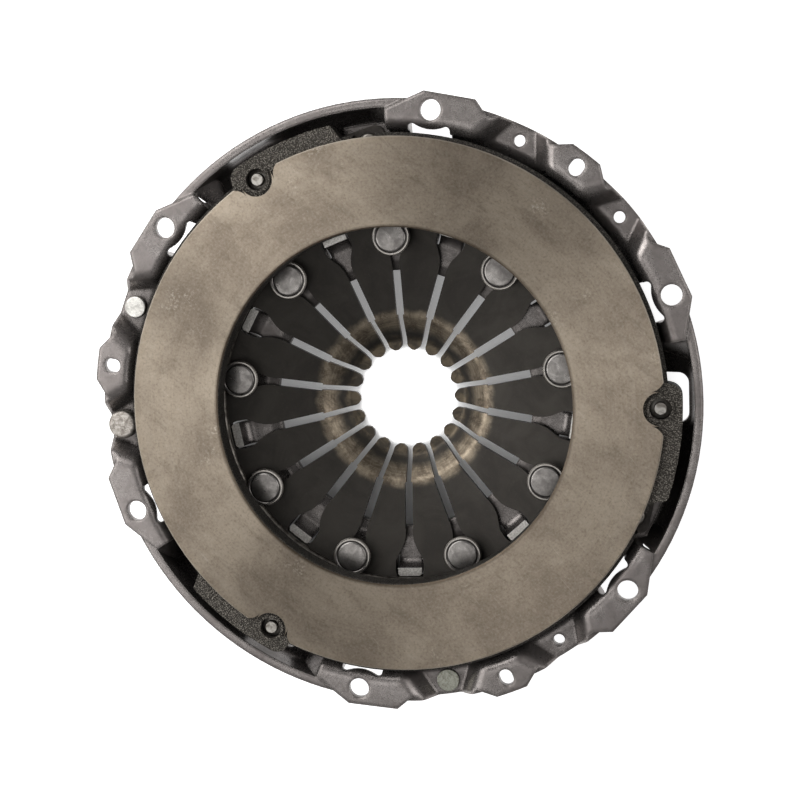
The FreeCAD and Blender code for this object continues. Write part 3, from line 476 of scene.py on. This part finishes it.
def painted_shade_inside(steel, colour, marks):
    """Painted shade on the inner faces of the dish and, in patches, in the hollows."""
    facing = steel.add("NewGeometry").outputs["True Normal"]
    faces_up = steel.rise(steel.add("SeparateXYZ", facing).outputs[2], 0.05, 0.30)
    faces_in = steel.fade(steel.dot(facing, outward(steel)), -0.40, -0.10)
    faces_plate = steel.maths("MAXIMUM", faces_up, faces_in)
    deep = steel.times(steel.fade(steel.height(), -0.0200, -0.0060), faces_plate)
    inner_painted_shade = steel.times(deep, steel.step(steel.radius(), 0.084, 0.092, 0.36, 0.52))
    # painted shade on the inner faces of the dish, the deeper ones darker
    colour = steel.mix(inner_painted_shade, colour, tone(44, 41, 39))
    # painted shade in the hollows that ambient occlusion finds, patchy by the marks
    open_to_air = steel.add("AmbientOcclusion", None, HOLLOW_REACH, samples=8).outputs["AO"]
    hollow = steel.fade(open_to_air, 0.30, 0.95, 0.55)
    painted_hollow_shade = steel.times(hollow, steel.step(marks, 0.3, 0.6, 0.75, 1.0))
    return steel.mix(painted_hollow_shade, colour, tone(46, 43, 40))


print("sheet colour ready")

# %% [markdown]
# ## Edges, bends and sheared ends
# Handling wears the coating off the corners. A Bevel node finds them: its normal leaves the surface's own
# one only near an edge. A second, wider Bevel lends the bends the soft turn that a press gives sheet. The
# ends of the nine tabs were sheared off and are bare, so they get a bright, plain finish of their own.
# They are picked out by their height, and by lying nearer to the axis than the rest of the sheet there.

# %% Cover
EDGE_WEAR = 0.0006
BEND_RADIUS = 0.0022


def sheared_ends(steel):
    """Share that is one on the ends of the tabs: a thin layer of height, close to the axis."""
    above = steel.rise(steel.height(), -0.0207, -0.0203)
    below = steel.fade(steel.height(), -0.0201, -0.0195)
    near_axis = steel.fade(steel.radius(), 0.0818, 0.0824)
    return steel.times(steel.times(above, below), near_axis)


def make_pressed_steel():
    steel = Finish("pressed_steel", tone(122, 115, 112), 0.75, 0.34)
    film = steel.noise(0.022, 5.0, 0.6, warp=0.8)
    marks = steel.noise(0.0030, 5.0, 0.65, warp=0.5)
    specks = steel.noise(0.0008, 4.0, 0.65)
    colour = coated_colour(steel, film, marks, specks)
    colour = painted_shade_inside(steel, colour, marks)

    smooth = steel.add("NewGeometry").outputs["Normal"]
    rounded = steel.add("Bevel", EDGE_WEAR, samples=4).outputs[0]
    edge = steel.fade(steel.dot(rounded, smooth), 0.90, 0.995)
    worn = steel.times(edge, steel.step(marks, 0.35, 0.6, 0.25, 0.8))
    colour = steel.mix(worn, colour, tone(196, 190, 184))
    cut_end = sheared_ends(steel)
    sheared = steel.mix(steel.rise(specks, 0.35, 0.65), tone(244, 240, 234), tone(206, 201, 194))
    colour = steel.mix(cut_end, colour, sheared)

    speck_gloss = steel.step(specks, 0.4, 0.8, -0.04, 0.12)
    gloss = steel.plus(steel.step(film, 0.3, 0.7, 0.24, 0.36), speck_gloss)
    gloss = steel.between(cut_end, gloss, 0.40)
    dents = steel.plus(specks, steel.times(marks, 2.0))
    dents = steel.times(dents, steel.minus(1.0, cut_end))
    pressed = steel.add("Bevel", BEND_RADIUS, samples=6).outputs[0]
    bends = steel.mix(cut_end, pressed, smooth)
    normal = steel.bump(dents, 0.00004, 0.4, bends)
    return steel.finish(colour, gloss, normal)


dress(["cover"], make_pressed_steel())

# %% [markdown]
# ## Spring steel
# The diaphragm spring is hardened and nearly black. Round the bend of the fingers it has a ring, part
# bronze tint and part painted highlight, with brown tips inside it.
# All of it follows the distance from the axis, so the radius picks the colour. A slow noise is added to
# the radius first, so that the ring's edges waver.

# %% Spring finish
def make_spring_steel():
    spring = Finish("spring_steel", tone(46, 43, 41), 0.85, 0.42)
    film = spring.noise(0.014, 5.0, 0.6, warp=0.6)
    patches = spring.noise(0.007, 5.0, 0.7, warp=0.6)
    specks = spring.noise(0.0008, 3.0, 0.6)
    rings = ring_noise(spring, 0.0006, 2.0, 0.6)
    waver = spring.step(spring.noise(0.010, 4.0, 0.6), 0.2, 0.8, -0.0012, 0.0012)
    ring_radius = spring.plus(spring.radius(), waver)

    dark = spring.mix(spring.rise(film, 0.30, 0.70), tone(58, 55, 51), tone(49, 46, 43))
    dark = spring.mix(spring.rise(specks, 0.58, 0.75, 0.2), dark, tone(84, 78, 70))
    # the ring's tones stand for a bronze tint and a painted highlight together
    bronze = spring.mix(spring.rise(patches, 0.35, 0.65), tone(160, 147, 128), tone(98, 87, 74))
    bronze = spring.mix(spring.rise(rings, 0.3, 0.7, 0.35), bronze, tone(70, 61, 51))
    bronze = spring.mix(spring.rise(specks, 0.55, 0.72, 0.5), bronze, tone(176, 164, 144))
    # ring of painted highlight and bronze tint round the bend of the fingers
    outer_side = spring.fade(ring_radius, 0.0378, 0.0422)
    ring_with_painted_highlight = spring.times(spring.rise(ring_radius, 0.0292, 0.0340), outer_side)
    colour = spring.mix(spring.times(ring_with_painted_highlight, 0.85), dark, bronze)
    tip_colour = spring.mix(spring.rise(patches, 0.4, 0.6), tone(110, 98, 80), tone(66, 60, 52))
    colour = spring.mix(spring.fade(ring_radius, 0.0262, 0.0292, 0.6), colour, tip_colour)

    gloss = spring.minus(spring.step(film, 0.3, 0.7, 0.42, 0.48), spring.times(ring_with_painted_highlight, 0.08))
    normal = spring.bump(spring.plus(specks, film), 0.00004, 0.5)
    return spring.finish(colour, gloss, normal)


spring_finish = make_spring_steel()
print("made", spring_finish.name)

# %% [markdown]
# ## Rivets
# The nine fulcrum rivets are headed cold. The set leaves a smooth dome with a rim: a painted highlight on
# the rim, and painted shade in a dark ring just inside it. One material does all nine: it folds the plane
# round the axis into equal wedges, and measures the distance to the middle of the wedge. The same fold
# serves the three lug rivets.

# %% Rivet finishes
FULCRUM_CIRCLE = 0.074
STRAP_RADIUS = 0.1152
LUG_RIVET = 38.24


def wedge_distance(finish, count, first_degrees, circle):
    """Distance from the nearest of count centres on a circle round the axis, seen from above."""
    parts = finish.add("SeparateXYZ", finish.place)
    angle = finish.maths("ARCTAN2", parts.outputs[1], parts.outputs[0])
    half = math.pi / count
    folded = finish.maths("WRAP", finish.minus(angle, math.radians(first_degrees)), half, -half)
    radius = finish.radius()
    across = finish.times(radius, finish.maths("SINE", folded))
    along = finish.minus(finish.times(radius, finish.maths("COSINE", folded)), circle)
    return finish.length(finish.add("CombineXYZ", along, across, 0.0).outputs[0])


def make_rivet_steel():
    rivet = Finish("rivet_steel", tone(110, 106, 102), 0.95, 0.34)
    distance = wedge_distance(rivet, count=9, first_degrees=90.0, circle=FULCRUM_CIRCLE)
    clouds = rivet.noise(0.0045, 5.0, 0.65, warp=0.4)
    specks = rivet.noise(0.0006, 3.0, 0.65)
    colour = rivet.mix(rivet.rise(clouds, 0.30, 0.70), tone(152, 148, 144), tone(114, 110, 107))
    colour = rivet.mix(rivet.rise(specks, 0.58, 0.74, 0.4), colour, tone(184, 179, 173))
    # painted highlight on the rim of each head
    colour = rivet.mix(rivet.rise(distance, 0.0074, 0.0078, 0.8), colour, tone(190, 184, 176))
    # painted shade in a groove just inside the rim
    painted_groove_shade = rivet.times(rivet.rise(distance, 0.0066, 0.0071, 0.7), rivet.fade(distance, 0.0072, 0.0076))
    colour = rivet.mix(painted_groove_shade, colour, tone(46, 43, 41))
    normal = rivet.bump(rivet.plus(specks, clouds), 0.00005, 0.5)
    return rivet.finish(colour, rivet.step(clouds, 0.3, 0.7, 0.26, 0.36), normal)


def make_strap_rivet_steel():
    rivet = Finish("strap_rivet_steel", tone(150, 146, 140), 1.0, 0.36)
    distance = wedge_distance(rivet, count=3, first_degrees=LUG_RIVET, circle=STRAP_RADIUS)
    clouds = rivet.noise(0.003, 4.0, 0.6, warp=0.8)
    colour = rivet.mix(rivet.rise(clouds, 0.35, 0.65), tone(186, 182, 175), tone(120, 114, 107))
    colour = rivet.mix(rivet.rise(distance, 0.0024, 0.0029, 0.5), colour, tone(74, 68, 62))
    normal = rivet.bump(clouds, 0.00006, 0.5)
    return rivet.finish(colour, rivet.step(clouds, 0.3, 0.7, 0.30, 0.45), normal)


dress(["fulcrum_rivets"], make_rivet_steel())
dress(["plate_strap_rivets", "cover_strap_rivets"], make_strap_rivet_steel())

# %% [markdown]
# ## Wire, straps and balance rivets
# The fulcrum rings are drawn wire and the straps are rolled spring steel, both dark with a slow change of
# tone. The three balance rivets are zinc plated and catch the eye in the photo. One recipe serves them,
# with two tones, the size of the crystals in the plating and the gloss to tell them apart.

# %% Small parts
def make_wire():
    wire = Finish("wire", tone(88, 84, 80), 0.95, 0.4)
    drawn = wire.noise(0.004, 4.0, 0.6)
    colour = wire.mix(wire.rise(drawn, 0.35, 0.65), tone(112, 107, 101), tone(66, 62, 58))
    normal = wire.bump(wire.noise(0.0006, 3.0, 0.6), 0.00003, 0.5)
    return wire.finish(colour, wire.step(drawn, 0.3, 0.7, 0.34, 0.5), normal)


def make_strap_steel():
    strap = Finish("strap_steel", tone(58, 55, 52), 0.9, 0.46)
    film = strap.noise(0.008, 4.0, 0.6)
    colour = strap.mix(strap.rise(film, 0.35, 0.65), tone(68, 64, 60), tone(46, 43, 41))
    normal = strap.bump(strap.noise(0.0007, 3.0, 0.6), 0.00003, 0.5)
    return strap.finish(colour, strap.step(film, 0.3, 0.7, 0.34, 0.48), normal)


def make_zinc(name, light, dark, size, gloss):
    zinc = Finish(name, light, 1.0, gloss)
    crystals = zinc.noise(size, 5.0, 0.65, warp=1.0)
    dust = zinc.noise(0.0006, 4.0, 0.7)
    colour = zinc.mix(zinc.rise(crystals, 0.35, 0.65), light, dark)
    colour = zinc.mix(zinc.rise(dust, 0.52, 0.70, 0.45), colour, tone(96, 88, 78))
    colour = zinc.mix(zinc.fade(dust, 0.34, 0.46, 0.35), colour, tone(226, 223, 216))
    normal = zinc.bump(zinc.plus(crystals, dust), 0.0001, 0.6)
    return zinc.finish(colour, zinc.step(crystals, 0.3, 0.7, gloss - 0.08, gloss + 0.1), normal)


bright_zinc = make_zinc("bright_zinc", tone(214, 212, 206), tone(168, 165, 160), size=0.004, gloss=0.34)
dull_zinc = make_zinc("dull_zinc", tone(178, 172, 165), tone(132, 125, 118), size=0.003, gloss=0.5)
green_zinc = make_zinc("green_zinc", tone(172, 172, 160), tone(134, 134, 122), size=0.004, gloss=0.42)
dress(["front_fulcrum_ring", "rear_fulcrum_ring"], make_wire())
dress(["balance_rivet_flat"], bright_zinc)
dress(["balance_rivet_large"], dull_zinc)
dress(["balance_rivet_small"], green_zinc)
strap_finish = make_strap_steel()

# %% [markdown]
# ## The diaphragm spring, which rocks
# When the plate is pushed away from the flywheel the spring doesn't move with it: it rocks on the two
# rings. Its outer edge follows the plate, its waist stays, and the fingers go the other way by nearly four
# times as much. This piece, a welded copy of the solid, takes the solid's place.

# %% Diaphragm spring
WELD_DISTANCE = 1e-6


def copy_of(node_name, piece_name):
    """New piece with the merged mesh of a CAD node."""
    shape = bmesh.new()
    shape.from_mesh(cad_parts[node_name].data)
    bmesh.ops.remove_doubles(shape, verts=shape.verts, dist=WELD_DISTANCE)
    mesh = bpy.data.meshes.new(piece_name)
    shape.to_mesh(mesh)
    shape.free()
    piece = bpy.data.objects.new(piece_name, mesh)
    bpy.context.scene.collection.objects.link(piece)
    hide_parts(node_name)
    return piece


def soften(piece, degrees):
    """Smooth the faces, and keep every edge sharper than this crisp."""
    shape = bmesh.new()
    shape.from_mesh(piece.data)
    for face in shape.faces:
        face.smooth = True
    for edge in shape.edges:
        edge.smooth = edge.calc_face_angle(math.pi) < math.radians(degrees)
    shape.to_mesh(piece.data)
    shape.free()


def give_finish(piece, material):
    """One material for the whole piece, in place of what the solid had."""
    piece.data.materials.clear()
    piece.data.materials.append(material)


spring = copy_of("diaphragm_spring", "diaphragm")
soften(spring, 28)
give_finish(spring, spring_finish)
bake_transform(spring)

# %% [markdown]
# ## The drive straps, which bend
# Three packs of thin leaves carry the torque from the cover to the lugs and let the plate move along the
# axis. Each leaf is riveted to the cover at one end and to a lug at the other. The copy of each leaf is
# cut across at even steps between its two rivets, so that it has points to bend at.

# %% Drive straps
STRAP_SPAN = 25.0
STRAP_CUTS = 20


def on_strap_circle(degrees):
    """Point on the circle that all six strap rivets stand on."""
    angle = math.radians(degrees)
    return Vector((STRAP_RADIUS * math.cos(angle), STRAP_RADIUS * math.sin(angle), 0))


def cover_end_of(box, lug_end):
    """Cover rivet of a leaf: the one that, with the lug's rivet, has the leaf in the middle."""
    middle = (box[0] + box[1]) / 2
    turns = [120 * third + side * STRAP_SPAN for third in range(3) for side in (-1, 1)]
    ends = [on_strap_circle(LUG_RIVET + turn) for turn in turns]
    return min(ends, key=lambda end: ((end + lug_end) / 2 - Vector((middle.x, middle.y, 0))).length)


def cut_across(piece, start, along):
    """Cut a leaf across at even steps from start, so that it has points to bend at."""
    shape = bmesh.new()
    shape.from_mesh(piece.data)
    for cut in range(1, STRAP_CUTS):
        whole = shape.verts[:] + shape.edges[:] + shape.faces[:]
        place = start + along * cut / STRAP_CUTS
        bmesh.ops.bisect_plane(shape, geom=whole, dist=1e-7, plane_co=place, plane_no=along)
    shape.to_mesh(piece.data)
    shape.free()


for strap in (1, 2, 3):
    lug_end = on_strap_circle(LUG_RIVET + 120 * (strap - 1))
    for leaf in (1, 2, 3):
        node = f"drive_strap_{strap}_leaf_{leaf}"
        piece = copy_of(node, f"strap_{strap}_leaf_{leaf}")
        cover_end = cover_end_of(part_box(node), lug_end)
        along = lug_end - cover_end
        cut_across(piece, cover_end, along)
        soften(piece, 30)
        give_finish(piece, strap_finish)
        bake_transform(piece)
    reach = [tuple(round(c, 3) for c in end) for end in (cover_end, lug_end)]
    print("strap", strap, "from", reach[0], "to", reach[1])
